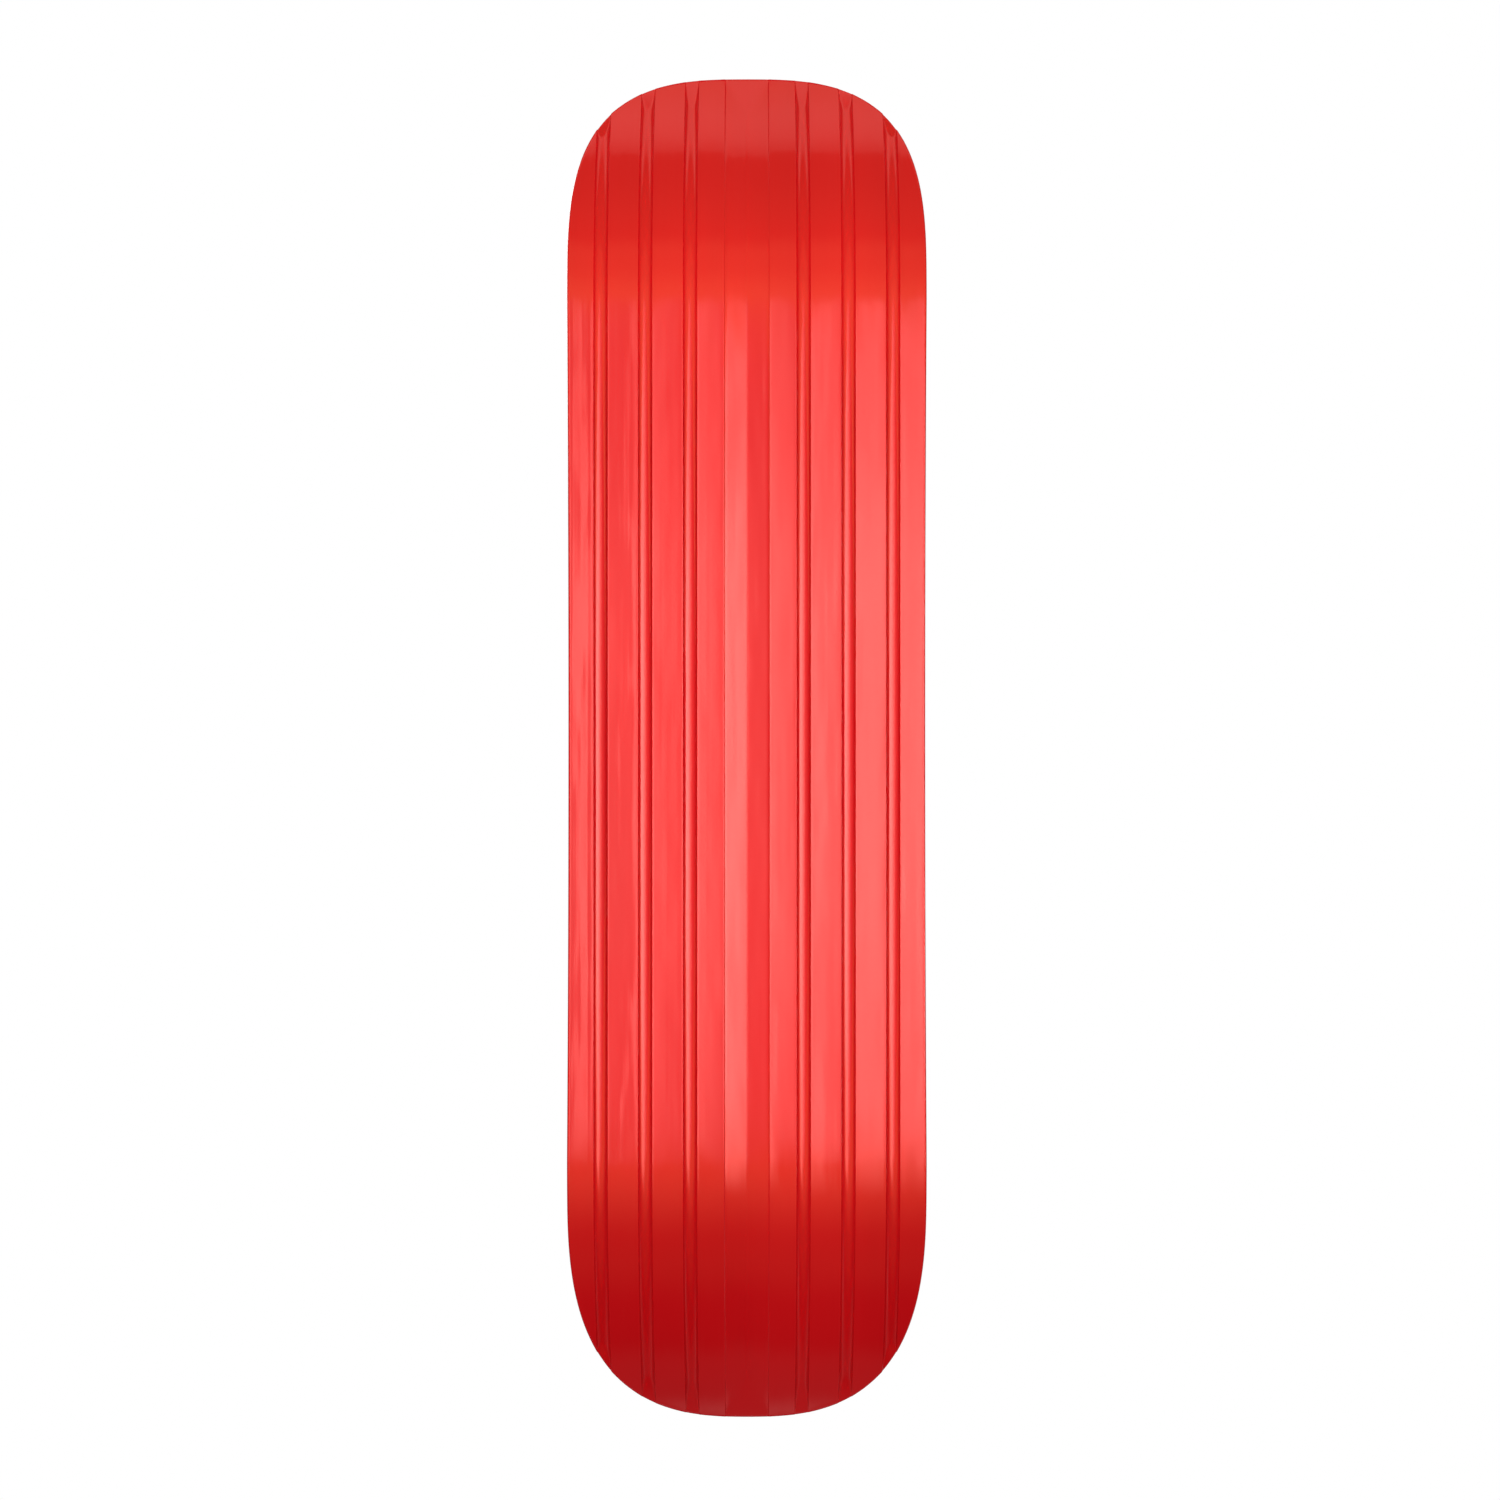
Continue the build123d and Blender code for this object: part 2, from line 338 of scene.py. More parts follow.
def full_layer(name, profile, last_lip, underside, rings, top_height):
    """A closed full-length layer: its underside, its edge as rings of (inset, height), and its top.

    A ring's height is a number, or a function of the underside's height beside it.
    """
    first_inset, last_inset = rings[0][0], rings[-1][0]
    along, across = sheet(profile, last_lip, first_inset)
    low = underside(along, across, profile)
    rows, columns = along.shape
    loop = perimeter(rows, columns)
    points = [place(along, across, low).reshape(-1, 3)]
    faces = [grid_faces(rows, columns, 0, flipped=True)]
    lower = loop[0] * columns + loop[1]
    count = rows * columns
    for inset, height in rings[1:-1]:
        ring_along, ring_across = (grid[loop] for grid in sheet(profile, last_lip, inset))
        ring_height = height(low[loop]) if callable(height) else np.full_like(ring_along, height)
        points.append(place(ring_along, ring_across, ring_height))
        upper = count + np.arange(len(ring_along))
        faces.append(ring_faces(lower, upper))
        lower = upper
        count += len(ring_along)
    along, across = sheet(profile, last_lip, last_inset)
    points.append(place(along, across, np.full_like(along, top_height)).reshape(-1, 3))
    faces.append(ring_faces(lower, count + loop[0] * columns + loop[1]))
    faces.append(grid_faces(rows, columns, count, flipped=False))
    return make_piece(name, np.concatenate(points), np.concatenate(faces).tolist())


def make_piece(name, points, faces):
    """A smooth-shaded mesh object whose edges stay sharp where its faces meet at a clear angle."""
    mesh = bpy.data.meshes.new(name)
    mesh.from_pydata(points.tolist(), [], faces)
    mesh.validate()
    finish_mesh(mesh)
    piece = bpy.data.objects.new(name, mesh)
    bpy.context.scene.collection.objects.link(piece)
    return piece


def finish_mesh(mesh):
    """Turns the faces outwards and shades them smooth, apart from sharp edges."""
    work = bmesh.new()
    work.from_mesh(mesh)
    bmesh.ops.recalc_face_normals(work, faces=work.faces)
    for face in work.faces:
        face.smooth = True
    work.to_mesh(mesh)
    work.free()
    mesh.set_sharp_from_angle(angle=SHARP_ANGLE)


def running_underside(along, across, profile):
    """Height of the base's underside: its channels, which run out at the outline of both ends."""
    height = np.broadcast_to(profile[:, 1], along.shape)
    depth = np.where(np.abs(across) < KEEL_HALF_WIDTH, KEEL_DEPTH, CHANNEL_DEPTH)
    for end in ENDS:
        from_outline = end_reach(end, across, 0.0) - end.side * along
        runout = end.runout_length * (1 - np.abs(across) / RUNOUT_TAPER_WIDTH)
        slope_height = depth * np.maximum(from_outline / runout, 0.0)
        # The lower of the two heights, with a soft bend where they cross
        above_slope = (height - slope_height) / RUNOUT_SOFTNESS
        softened = height - RUNOUT_SOFTNESS * np.log1p(np.exp(above_slope))
        near_tip = from_outline < 2 * runout
        height = np.where(near_tip, np.maximum(softened, 0.0), height)
    return height


def level_underside(height):
    return lambda along, across, profile: np.full_like(along, height)


def edge_rings(radius):
    """Insets and rises of a rounded edge, a quarter circle in small steps."""
    angles = np.linspace(0, math.pi / 2, EDGE_STEPS + 1)
    return [(radius * (1 - math.sin(angle)), radius * (1 - math.cos(angle))) for angle in angles]


def build_running_base():
    half, last_lip = running_profile()
    lower_edge = edge_rings(BASE_EDGE_RADIUS)
    rings = [(inset, lambda low, rise=rise: low + rise) for inset, rise in lower_edge]
    rings += [(0.0, BASE_TOP - SEAM_CHAMFER), (SEAM_CHAMFER, BASE_TOP)]
    profile = mirrored(half)
    return full_layer("running_base_skin", profile, last_lip, running_underside, rings, BASE_TOP)


def build_deck_core():
    half, last_lip = plain_profile()
    rings = [(SEAM_CHAMFER, BASE_TOP), (0.0, BASE_TOP + SEAM_CHAMFER)]
    rings += [(inset, DECK_TOP - rise) for inset, rise in edge_rings(DECK_EDGE_RADIUS)[::-1]]
    underside = level_underside(BASE_TOP)
    return full_layer("deck_core_shell", mirrored(half), last_lip, underside, rings, DECK_TOP)


# ---------------------------------------------------------------- foam pads


def groove_depth(distance):
    """Depth of a foam groove at a distance from its middle, with a rounded shoulder."""
    share = np.clip((distance - FOAM_GROOVE_FLOOR) / FOAM_GROOVE_RUN, 0.0, 1.0)
    return FOAM_GROOVE_DEPTH * (1 - share) ** FOAM_WALL_CURVE


def lattice_lines(reach):
    """Distances from the middle where one family of grooves needs a mesh line."""
    beside = [FOAM_GROOVE_FLOOR + FOAM_GROOVE_RUN * share for share in (0.0, 0.2, 0.45, 0.7, 1.0)]
    offsets = [-distance for distance in beside[::-1]] + beside + [DIAMOND_PITCH / 2]
    last = math.ceil(reach / DIAMOND_PITCH)
    grooves = DIAMOND_PITCH * np.arange(-last, last + 1)
    return np.add.outer(grooves, offsets).ravel()


def flat_pad_outline(inset):
    """Outline of a pad on the level middle, about its own centre."""
    length = (TAIL.bend_start + NOSE.bend_start) / len(FLAT_PADS) - PAD_GAP - 2 * inset
    width = BOARD_WIDTH - 2 * PAD_EDGE_MARGIN - 2 * inset
    radius = PAD_CORNER_RADIUS - inset
    points = []
    for quarter in range(4):
        for step in range(CORNER_STEPS + 1):
            angle = math.radians(90) * (quarter + step / CORNER_STEPS)
            side_x = 1 if quarter in (0, 3) else -1
            side_y = 1 if quarter in (0, 1) else -1
            centre = (side_x * (length / 2 - radius), side_y * (width / 2 - radius))
            points.append((centre[0] + radius * math.cos(angle), centre[1] + radius * math.sin(angle)))
    return np.array(points)


def end_pad_outline(end, inset):
    """Outline of the pad on an upturned end, on the flat board and mirrored to the nose's side."""
    start = end.bend_start + PAD_GAP / 2 + inset
    half = BOARD_WIDTH / 2 - PAD_EDGE_MARGIN - inset
    reach = end.round_length - PAD_EDGE_MARGIN - inset
    turns = np.radians(np.linspace(-90, 90, TIP_STEPS + 1))
    power = 2 / end.squareness
    along = end.round_start + reach * np.cos(turns) ** power
    across = half * np.sign(turns) * np.abs(np.sin(turns)) ** power
    points = list(zip(along, across))
    radius = PAD_CORNER_RADIUS - inset
    for side, first_angle in ((1, 90), (-1, 180)):
        centre = (start + radius, side * (half - radius))
        for step in range(CORNER_STEPS + 1):
            angle = math.radians(first_angle + 90 * step / CORNER_STEPS)
            points.append((centre[0] + radius * math.cos(angle), centre[1] + radius * math.sin(angle)))
    return np.array(points)


def clipped_lattice(outline):
    """The foam's surface inside an outline, as a bmesh of (along, across, depth)."""
    centre = (outline.max(axis=0) + outline.min(axis=0)) / 2
    local = outline - centre
    sine, cosine = math.sin(DIAMOND_ANGLE), math.cos(DIAMOND_ANGLE)
    reach = (np.abs(local[:, 0]) * sine + np.abs(local[:, 1]) * cosine).max()
    lines = lattice_lines(reach)
    left, right = np.meshgrid(lines, lines, indexing="ij")
    along = (right - left) / (2 * sine)
    across = (right + left) / (2 * cosine)

    def to_groove(value):
        return np.abs(value - DIAMOND_PITCH * np.round(value / DIAMOND_PITCH))

    depth = np.maximum(groove_depth(to_groove(left)), groove_depth(to_groove(right)))
    count = len(lines)
    quads = grid_faces(count, count, 0, flipped=False)
    spare = 2.0
    near_along = np.abs(along) < np.abs(local[:, 0]).max() + spare
    near_across = np.abs(across) < np.abs(local[:, 1]).max() + spare
    quads = quads[(near_along & near_across).ravel()[quads].any(axis=1)]
    used = np.unique(quads)
    number = np.zeros(count * count, int)
    number[used] = np.arange(len(used))
    work = bmesh.new()
    points = np.stack([along, across, depth], axis=-1).reshape(-1, 3)[used]
    vertices = [work.verts.new(point) for point in points.tolist()]
    for quad in number[quads].tolist():
        work.faces.new([vertices[index] for index in quad])
    following = np.roll(local, -1, axis=0)
    for start, end in zip(local, following):
        step = end - start
        if np.hypot(*step) < 1e-6:
            continue
        geometry = work.verts[:] + work.edges[:] + work.faces[:]
        outward = (step[1], -step[0], 0.0)
        bmesh.ops.bisect_plane(
            work, geom=geometry, dist=1e-5, plane_co=(*start, 0.0), plane_no=outward, clear_outer=True
        )
    bmesh.ops.remove_doubles(work, verts=work.verts, dist=0.01)
    return work, centre


def boundary_loop(work):
    """Vertices round the edge of an open bmesh, in order."""
    edges = [edge for edge in work.edges if len(edge.link_faces) == 1]
    beside = {}
    for edge in edges:
        for vertex in edge.verts:
            beside.setdefault(vertex, []).append(edge.other_vert(vertex))
    start = edges[0].verts[0]
    loop, previous, current = [start], None, start
    while True:
        options = [vertex for vertex in beside[current] if vertex is not previous]
        previous, current = current, options[0]
        if current is start:
            return loop
        loop.append(current)


def pad_shape(outline):
    """A foam pad on the flat board: points, faces and each point's height above the base's underside."""
    work, centre = clipped_lattice(outline)
    work.verts.index_update()
    top = np.array([vertex.co for vertex in work.verts])
    top_faces = [[vertex.index for vertex in face.verts] for face in work.faces]
    loop = np.array([vertex.index for vertex in boundary_loop(work)])
    work.free()

    ring = top[loop, :2]
    if np.sum(ring[:, 0] * np.roll(ring[:, 1], -1) - ring[:, 1] * np.roll(ring[:, 0], -1)) < 0:
        loop, ring = loop[::-1], ring[::-1]
    step = np.roll(ring, -1, axis=0) - np.roll(ring, 1, axis=0)
    outward = np.stack([step[:, 1], -step[:, 0]], axis=1)
    outward /= np.linalg.norm(outward, axis=1)[:, None]

    flat = [top[:, :2]]
    heights = [PAD_TOP - top[:, 2]]
    faces = list(top_faces)
    upper, count = loop, len(top)
    for angle in np.linspace(0, math.pi / 2, EDGE_STEPS + 1)[1:]:
        flat.append(ring + outward * PAD_SHOULDER * math.sin(angle))
        shoulder = PAD_TOP - PAD_SHOULDER * (1 - math.cos(angle))
        heights.append(np.minimum(heights[0][loop], shoulder))
        lower = count + np.arange(len(ring))
        faces += ring_faces(upper, lower).tolist()
        upper, count = lower, count + len(ring)
    flat.append(ring + outward * PAD_SHOULDER)
    heights.append(np.full(len(ring), FILM_TOP))
    lower = count + np.arange(len(ring))
    faces += ring_faces(upper, lower).tolist()
    count += len(ring)
    flat.append(top[:, :2])
    heights.append(np.full(len(top), FILM_TOP))
    faces += ring_faces(lower, count + loop).tolist()
    faces += [[count + index for index in face[::-1]] for face in top_faces]
    return np.concatenate(flat) + centre, faces, np.concatenate(heights)


def build_pads():
    """The five foam pads, by CAD node name."""
    pitch = (TAIL.bend_start + NOSE.bend_start) / len(FLAT_PADS)
    pads = {}
    flat, faces, heights = pad_shape(flat_pad_outline(PAD_SHOULDER))
    for index, name in enumerate(FLAT_PADS):
        along = flat[:, 0] - TAIL.bend_start + pitch * (index + 0.5)
        pads[name] = make_piece(name + "_foam", place(along, flat[:, 1], heights), faces)
    for end, name in ((NOSE, "nose_pad"), (TAIL, "tail_pad")):
        flat, faces, heights = pad_shape(end_pad_outline(end, PAD_SHOULDER))
        points = place(end.side * flat[:, 0], flat[:, 1], heights)
        pads[name] = make_piece(name + "_foam", points, faces)
    return pads


# ---------------------------------------------------------------- node helpers


class Graph:
    """Builds a node tree with short calls."""

    def __init__(self, tree):
        self.tree = tree
        tree.nodes.clear()

    def add(self, kind, inputs=None, **settings):
        node = self.tree.nodes.new(kind)
        for name, value in settings.items():
            setattr(node, name, value)
        for name, value in (inputs or {}).items():
            self.set(node.inputs[name], value)
        return node

    def set(self, socket, value):
        if isinstance(value, bpy.types.NodeSocket):
            self.tree.links.new(value, socket)
        else:
            socket.default_value = value

    def math(self, operation, *values):
        node = self.add("ShaderNodeMath", operation=operation)
        for socket, value in zip(node.inputs, values):
            self.set(socket, value)
        return node.outputs[0]

    def smooth(self, value, start, end, low=0.0, high=1.0):
        """A soft step from low to high as value goes from start to end."""
        inputs = {"Value": value, "From Min": start, "From Max": end, "To Min": low, "To Max": high}
        return self.add("ShaderNodeMapRange", inputs, interpolation_type="SMOOTHSTEP").outputs[0]

    def stepped(self, value, level, steps):
        """A level that changes by an amount as value goes from start to end, once for each step."""
        for start, end, change in steps:
            level = self.math("ADD", level, self.smooth(value, start, end, 0.0, change))
        return level

    def mix(self, share, first, second):
        node = self.add("ShaderNodeMix", data_type="RGBA")
        for index, value in ((0, share), (6, first), (7, second)):
            self.set(node.inputs[index], value)
        return node.outputs[2]

    def colour(self, red, green, blue):
        return self.add("ShaderNodeCombineColor", {"Red": red, "Green": green, "Blue": blue}).outputs[0]

    def grey(self, level):
        return self.colour(level, level, level)

    def split(self, vector):
        """A vector's parts, by the names X, Y and Z."""
        return self.add("ShaderNodeSeparateXYZ", {"Vector": vector}).outputs

    def coordinates(self, kind):
        return self.add("ShaderNodeTexCoord").outputs[kind]

    def noise(self, stretch, detail, roughness=0.5):
        """Noise with a number of waves per metre along each axis."""
        place = self.add("ShaderNodeMapping", {"Vector": self.coordinates("Object"), "Scale": stretch})
        inputs = {"Vector": place.outputs[0], "Scale": 1.0, "Detail": detail, "Roughness": roughness}
        return self.add("ShaderNodeTexNoise", inputs).outputs["Fac"]

    def pointiness(self):
        return self.add("ShaderNodeNewGeometry").outputs["Pointiness"]

    def bump(self, height, strength, distance, normal=None):
        inputs = {"Height": height, "Strength": strength, "Distance": distance}
        if normal is not None:
            inputs["Normal"] = normal
        return self.add("ShaderNodeBump", inputs).outputs[0]

    def camera_above(self):
        """1 when the camera is above the floor and 0 when it looks up from below it."""
        inputs = {"Vector": (0.0, 0.0, 0.0)}
        settings = {"vector_type": "POINT", "convert_from": "CAMERA", "convert_to": "WORLD"}
        eye = self.add("ShaderNodeVectorTransform", inputs, **settings).outputs[0]
        return self.math("GREATER_THAN", self.split(eye)["Z"], 0.0)

    def finish(self, output_kind, shader):
        """Ends the tree with one shader as its surface."""
        output = self.add(output_kind)
        self.set(output.inputs["Surface"], shader.outputs[0])


def new_material(name):
    material = bpy.data.materials.new(name)
    material.use_nodes = True
    return material, Graph(material.node_tree)


def finish_material(graph, inputs):
    """Ends a material with one Principled surface."""
    graph.finish("ShaderNodeOutputMaterial", graph.add("ShaderNodeBsdfPrincipled", inputs))


# ---------------------------------------------------------------- materials

# Colours: pairs are the darker and the lighter shade that a surface varies between
RED_SHADES = ((0.60, 0.0050, 0.0076, 1), (0.65, 0.0064, 0.0090, 1))
# Painted shade: the deeper red laid on the base's steep channel walls and rounded edge
RED_PAINTED_SHADE = (0.30, 0.0015, 0.0030, 1)
RED_REFLECTION = (1.0, 0.33, 0.29, 1)
CHARCOAL_SHADES = ((0.018, 0.019, 0.021, 1), (0.034, 0.035, 0.038, 1))
CHARCOAL_WORN = (0.09, 0.09, 0.095, 1)
FOAM_SHADES = ((0.030, 0.031, 0.034, 1), (0.052, 0.053, 0.057, 1))
FOAM_CELLS = (0.085, 0.087, 0.092, 1)
FOAM_RUBBED = (0.13, 0.13, 0.135, 1)
FILM_SHADES = ((0.15, 0.145, 0.13, 1), (0.24, 0.23, 0.205, 1))
FLOOR_SHADES = ((0.78, 0.78, 0.78, 1), (0.82, 0.82, 0.82, 1))
CELLS_PER_METRE = 1500.0


def painted_shade_share(graph):
    """How much painted shade, as a deeper red, a place of the base shows: most on the channels' walls, some
    on its rounded edge.
    """
    facing = graph.split(graph.coordinates("Normal"))
    along = graph.split(graph.coordinates("Object"))["X"]
    wall_shade = graph.smooth(graph.math("ABSOLUTE", facing["Y"]), 0.30, 0.85, 0.0, 0.6)
    # Painted shade on the walls: 0.5 at the tail's end, 1 on the level middle and 0.15 at the nose's end
    by_place = graph.stepped(along, 0.5, [(-0.28, -0.21, 0.5), (0.19, 0.27, -0.85)])
    wall_shade = graph.math("MULTIPLY", wall_shade, by_place)
    # Painted shade on the rounded edge, where the surface turns away from facing straight down
    edge = graph.smooth(graph.math("ABSOLUTE", facing["Z"]), 0.35, 0.75, 0.4, 0.0)
    return graph.math("MINIMUM", graph.math("ADD", wall_shade, edge), 0.8)


def red_base_material():
    """Polished red polymer, slightly wavy, with faint lengthwise marks from sliding, and painted shade on
    its channels' walls and rounded edge.
    """
    material, graph = new_material("polished_red")
    broad = graph.noise((3.0, 14.0, 6.0), 3.0)
    colour = graph.mix(graph.smooth(broad, 0.3, 0.7), *RED_SHADES)
    # Painted shade: deeper red on the channels' steep walls and the rounded edge
    colour = graph.mix(painted_shade_share(graph), colour, RED_PAINTED_SHADE)

    streaks = graph.noise((9.0, 260.0, 60.0), 4.0, 0.6)
    scratches = graph.noise((22.0, 2600.0, 400.0), 2.0)
    dulled = graph.math("MULTIPLY", graph.smooth(scratches, 0.62, 0.72), 0.04)
    roughness = graph.math("ADD", graph.smooth(streaks, 0.35, 0.7, 0.075, 0.11), dulled)

    waves = graph.noise((9.0, 45.0, 20.0), 2.0)
    draw_lines = graph.noise((1.5, 300.0, 40.0), 2.0)
    normal = graph.bump(waves, 1.0, 0.0005)
    normal = graph.bump(draw_lines, 1.0, 0.00005, normal)
    normal = graph.bump(scratches, 0.05, 0.00002, normal)
    finish_material(graph, {
        "Base Color": colour,
        "Roughness": roughness,
        "Specular IOR Level": 0.5,
        "Specular Tint": RED_REFLECTION,
        "Normal": normal,
    })
    return material


def deck_material():
    """Charcoal moulded polymer with a fine even texture, rubbed a little lighter on its edges."""
    material, graph = new_material("moulded_charcoal")
    patches = graph.noise((18.0, 18.0, 18.0), 4.0)
    colour = graph.mix(patches, *CHARCOAL_SHADES)
    on_edges = graph.smooth(graph.pointiness(), 0.505, 0.53)
    worn = graph.math("MULTIPLY", on_edges, graph.smooth(patches, 0.4, 0.6))
    colour = graph.mix(graph.math("MULTIPLY", worn, 0.5), colour, CHARCOAL_WORN)
    grain = graph.noise((900.0, 900.0, 900.0), 2.0)
    scuffs = graph.noise((60.0, 240.0, 120.0), 3.0)
    finish_material(graph, {
        "Base Color": colour,
        "Roughness": graph.smooth(scuffs, 0.3, 0.7, 0.42, 0.58),
        "Normal": graph.bump(grain, 0.35, 0.0002),
    })
    return material


def foam_material():
    """Closed-cell foam: matte, full of tiny cells, and paler where shoes rub its raised faces."""
    material, graph = new_material("closed_cell_foam")
    patches = graph.noise((14.0, 14.0, 14.0), 4.0)
    colour = graph.mix(patches, *FOAM_SHADES)
    inputs = {"Vector": graph.coordinates("Object"), "Scale": CELLS_PER_METRE}
    cells = graph.add("ShaderNodeTexVoronoi", inputs)
    pits = graph.smooth(cells.outputs["Distance"], 0.05, 0.55)
    colour = graph.mix(graph.math("MULTIPLY", pits, 0.35), colour, FOAM_CELLS)
    raised = graph.smooth(graph.pointiness(), 0.50, 0.54)
    rubbed = graph.math("MULTIPLY", raised, graph.smooth(patches, 0.35, 0.65))
    colour = graph.mix(graph.math("MULTIPLY", rubbed, 0.35), colour, FOAM_RUBBED)
    finish_material(graph, {
        "Base Color": colour,
        "Roughness": graph.smooth(patches, 0.3, 0.7, 0.78, 0.9),
        "Specular IOR Level": 0.3,
        "Sheen Weight": 0.12,
        "Sheen Roughness": 0.5,
        "Normal": graph.bump(pits, 0.5, 0.0002),
    })
    return material


def film_material():
    """Tacky greyish film under the pads, with soft clouding."""
    material, graph = new_material("adhesive_film")
    clouds = graph.noise((45.0, 45.0, 45.0), 4.0)
    ripples = graph.noise((400.0, 400.0, 400.0), 2.0)
    finish_material(graph, {
        "Base Color": graph.mix(clouds, *FILM_SHADES),
        "Roughness": graph.smooth(clouds, 0.3, 0.7, 0.35, 0.5),
        "Normal": graph.bump(ripples, 0.2, 0.0001),
    })
    return material


def floor_material():
    """Pale floor that is only there for a camera above it, so that the base can be seen from below."""
    material, graph = new_material("pale_floor")
    colour = graph.mix(graph.noise((3.0, 3.0, 3.0), 2.0), *FLOOR_SHADES)
    paint = graph.add("ShaderNodeBsdfDiffuse", {"Color": colour})
    clear = graph.add("ShaderNodeBsdfTransparent")
    inputs = {0: graph.camera_above(), 1: clear.outputs[0], 2: paint.outputs[0]}
    graph.finish("ShaderNodeOutputMaterial", graph.add("ShaderNodeMixShader", inputs))
    return material


# ---------------------------------------------------------------- studio, in metres

FLOOR_HALF_SIZE = 40.0
CAMERA_DISTANCE = 1.170
CAMERA_SHIFT = 0.0019  # towards +Y
CAMERA_LENS = 46.93

# Light on the underside
PANEL_STRENGTH = 7.6  # of the light that the base mirrors
WEAK_LIGHT_WARMTH = 0.5  # share of blue that the weak light lacks
EVEN_LIGHT = 0.825  # of the light that falls on the base from all sides
EVEN_LIGHT_TILT = 0.54  # how much stronger that light is from the nose's side
SHEET_LIGHT_SIZE = (0.58, 0.30)
SHEET_LIGHT_PLACE = (0.03, 0.0, -0.04)
SHEET_LIGHT_WATTS = 0.273

# Light from above
SKY_LEVELS = (0.60, 0.78)  # at the horizon and high up
KEY_PLACE, KEY_SIZE, KEY_WATTS = (0.9, -1.2, 1.6), 0.8, 15.0
FILL_PLACE, FILL_SIZE, FILL_WATTS = (-1.3, 0.9, 1.3), 1.4, 4.0


def build_floor():
    mesh = bpy.data.meshes.new("floor")
    half = FLOOR_HALF_SIZE
    corners = [(-half, -half, 0.0), (half, -half, 0.0), (half, half, 0.0), (-half, half, 0.0)]
    mesh.from_pydata(corners, [], [(0, 1, 2, 3)])
    mesh.materials.append(floor_material())
    floor = bpy.data.objects.new("floor", mesh)
    bpy.context.scene.collection.objects.link(floor)


def panels_below(graph, direction):
    """Light that the base mirrors, by its direction.

    Angles are in degrees from straight down: lengthwise towards the nose, sideways towards +Y, and
    slant out of the plane along the board. A step is (start angle, end angle, change of level).
    """
    down = graph.math("MULTIPLY", direction["Z"], -1.0)
    lengthwise = graph.math("DEGREES", graph.math("ARCTAN2", direction["X"], down))
    sideways = graph.math("DEGREES", graph.math("ARCTAN2", direction["Y"], down))
    slant = graph.math("DEGREES", graph.math("ARCSINE", direction["Y"]))

    # A large panel under the level middle, with a narrow bright strip towards -Y
    ends = [(-12.3, -11.1, 0.73), (-11, -3, 0.27), (4, 11, -0.36), (12.4, 13.6, -0.64)]
    sides = [(-80, -30, 0.22), (-30, -16, 0.27), (-10, 4, 0.69), (55, 67, -1.17)]
    strip = [(-16.2, -14.0, 0.84), (-11.8, -9.6, -0.84)]
    along = graph.stepped(lengthwise, 0.0, ends)
    across = graph.stepped(sideways, 0.02, sides + strip)
    middle = graph.math("MULTIPLY", along, across)

    # A brighter panel beside it towards +Y, which reaches further towards the tail
    ends = [(-22, -12, 1.08), (-6, 0, -0.08), (5, 11, -0.35), (12.4, 13.6, -0.65)]
    sides = [(2.5, 7.5, 0.47), (9.5, 12, -0.22), (13, 22, 0.67), (55, 67, -0.92)]
    along = graph.stepped(lengthwise, 0.0, ends)
    across = graph.stepped(sideways, 0.0, sides)
    middle = graph.math("ADD", middle, graph.math("MULTIPLY", along, across))

    # Weak, warm light beyond the ends of both panels
    beyond_nose_end = [(12.4, 13.6, 0.43), (13.5, 24, -0.17), (27.5, 33.5, -0.12), (35, 57, -0.05)]
    beyond_tail_end = [(-52, -38, 0.045), (-34, -13, 0.235), (-12.3, -11.1, -0.28)]
    weak = graph.stepped(lengthwise, 0.0, beyond_nose_end + beyond_tail_end)

    # A panel far out beyond the nose with a sharp edge
    nose_panel = graph.stepped(lengthwise, 0.0, [(59.9, 60.9, 0.10), (61, 67, 0.075), (70, 88, -0.115)])
    within_width = graph.smooth(graph.math("ABSOLUTE", slant), 42, 52, 1.0, 0.03)
    nose_panel = graph.math("MULTIPLY", nose_panel, within_width)

    # A faint glow far out beyond the tail, stronger towards +Y
    tail_glow = graph.stepped(lengthwise, 0.10, [(-90, -80, -0.075), (-70, -62, -0.025)])
    low_strip = graph.math(
        "MULTIPLY", graph.smooth(lengthwise, -60, -50, 0.06, 0.0), graph.smooth(slant, 46, 54)
    )
    far = graph.math("ADD", nose_panel, graph.math("ADD", tail_glow, low_strip))

    from_below = graph.smooth(direction["Z"], -0.06, 0.04, 1.0, 0.1)
    strength = graph.math("MULTIPLY", from_below, PANEL_STRENGTH)
    weak = graph.math("MULTIPLY", weak, strength)
    level = graph.math("ADD", weak, graph.math("MULTIPLY", graph.math("ADD", middle, far), strength))
    blue = graph.math("SUBTRACT", level, graph.math("MULTIPLY", weak, WEAK_LIGHT_WARMTH))
    return graph.colour(level, level, blue)


def build_world():
    """Soft studio surroundings: one set of panels for a camera below the board and one for above."""
    world = bpy.data.worlds.new("studio")
    bpy.context.scene.world = world
    world.use_nodes = True
    world.cycles.sampling_method = "NONE"
    graph = Graph(world.node_tree)
    direction = graph.split(graph.coordinates("Generated"))

    # From below: what the camera sees, what falls on the base evenly and what it mirrors
    path = graph.add("ShaderNodeLightPath").outputs
    even_light = graph.math("ADD", graph.math("MULTIPLY", direction["X"], EVEN_LIGHT_TILT), EVEN_LIGHT)
    even_light = graph.math("MULTIPLY", path["Is Diffuse Ray"], even_light)
    plain = graph.grey(graph.math("ADD", path["Is Camera Ray"], even_light))
    below = graph.mix(path["Is Glossy Ray"], plain, panels_below(graph, direction))

    overhead = graph.grey(graph.smooth(direction["Z"], 0.0, 0.9, *SKY_LEVELS))
    colour = graph.mix(graph.camera_above(), below, overhead)
    graph.finish("ShaderNodeOutputWorld", graph.add("ShaderNodeBackground", {"Color": colour}))


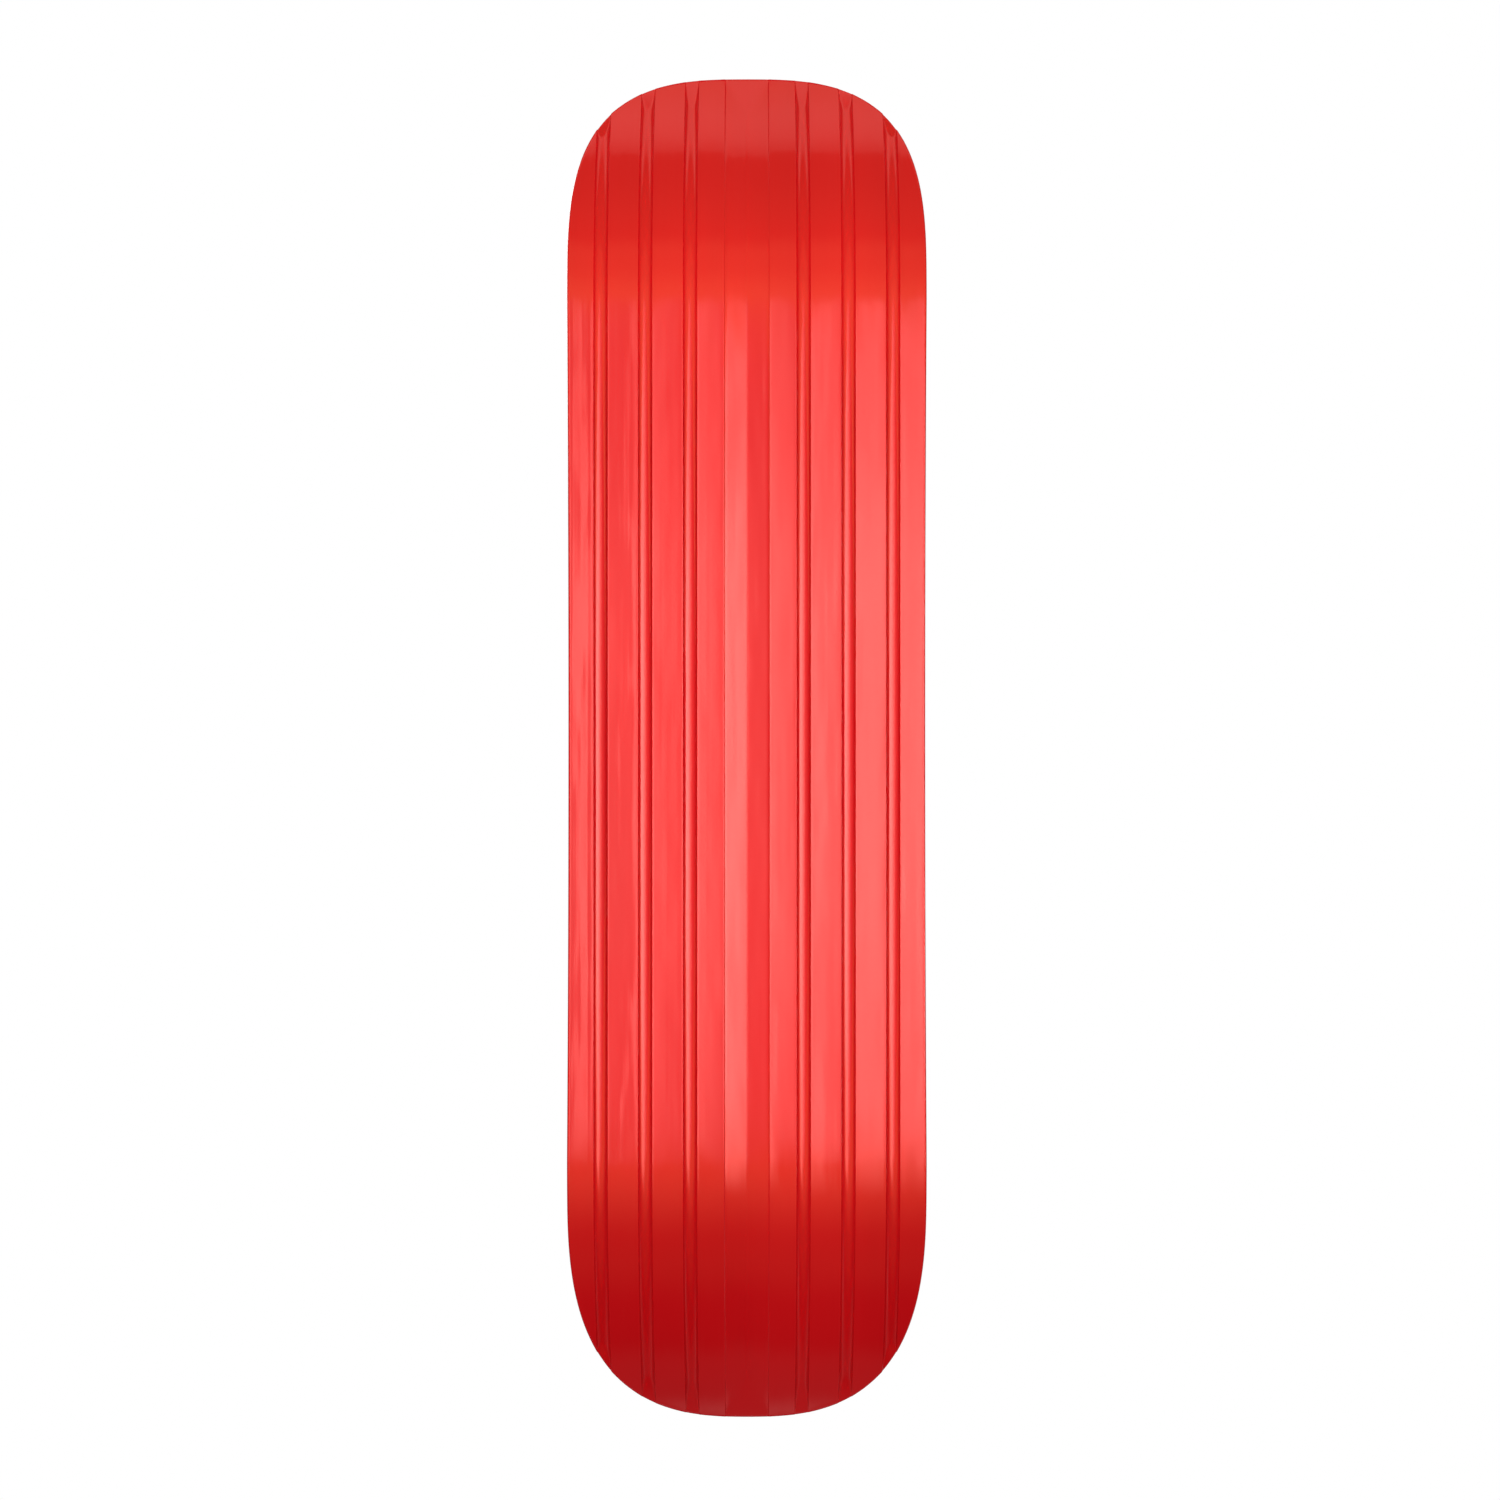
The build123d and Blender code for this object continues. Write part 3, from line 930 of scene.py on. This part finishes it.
def add_area_light(name, place, turn, size, watts):
    """A soft rectangular light that is never seen itself."""
    light = bpy.data.lights.new(name, "AREA")
    light.shape = "RECTANGLE"
    light.size, light.size_y = size
    light.energy = watts
    lamp = bpy.data.objects.new(name, light)
    bpy.context.scene.collection.objects.link(lamp)
    lamp.location = place
    lamp.rotation_mode = "QUATERNION"
    lamp.rotation_quaternion = turn
    lamp.visible_camera = False
    return lamp


def build_lights():
    facing_up = (0.0, 1.0, 0.0, 0.0)
    sheet = add_area_light("under_sheet", SHEET_LIGHT_PLACE, facing_up, SHEET_LIGHT_SIZE, SHEET_LIGHT_WATTS)
    sheet.visible_glossy = False
    for name, place, size, watts in (
        ("key", KEY_PLACE, KEY_SIZE, KEY_WATTS),
        ("fill", FILL_PLACE, FILL_SIZE, FILL_WATTS),
    ):
        facing_board = Vector(place).normalized().to_track_quat("Z", "Y")
        add_area_light(name, place, facing_board, (size, size), watts)


def build_camera():
    """Square on to the base, from straight below, with the nose at the top of the picture."""
    camera = bpy.data.cameras.new("camera")
    camera.sensor_width = 36.0
    camera.lens = CAMERA_LENS
    viewer = bpy.data.objects.new("camera", camera)
    bpy.context.scene.collection.objects.link(viewer)
    right, up, back = (0, 1, 0), (1, 0, 0), (0, 0, -1)
    turn = Matrix((right, up, back)).transposed().to_4x4()
    viewer.matrix_world = Matrix.Translation((0.0, CAMERA_SHIFT, -CAMERA_DISTANCE)) @ turn
    bpy.context.scene.camera = viewer


# ---------------------------------------------------------------- assembly


def dress(piece, node, material):
    """Gives a new piece its material and puts it in the place of a CAD node."""
    piece.data.materials.append(material)
    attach(piece, "root")
    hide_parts(node)


dress(build_running_base(), "running_base", red_base_material())
dress(build_deck_core(), "deck_core", deck_material())

foam = foam_material()
film = film_material()
for node, pad in build_pads().items():
    dress(pad, node, foam)
    film_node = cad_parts[node + "_adhesive"]
    film_node.data.materials.clear()
    film_node.data.materials.append(film)

build_floor()
build_world()
build_lights()
build_camera()
bpy.context.scene.view_settings.view_transform = "Standard"
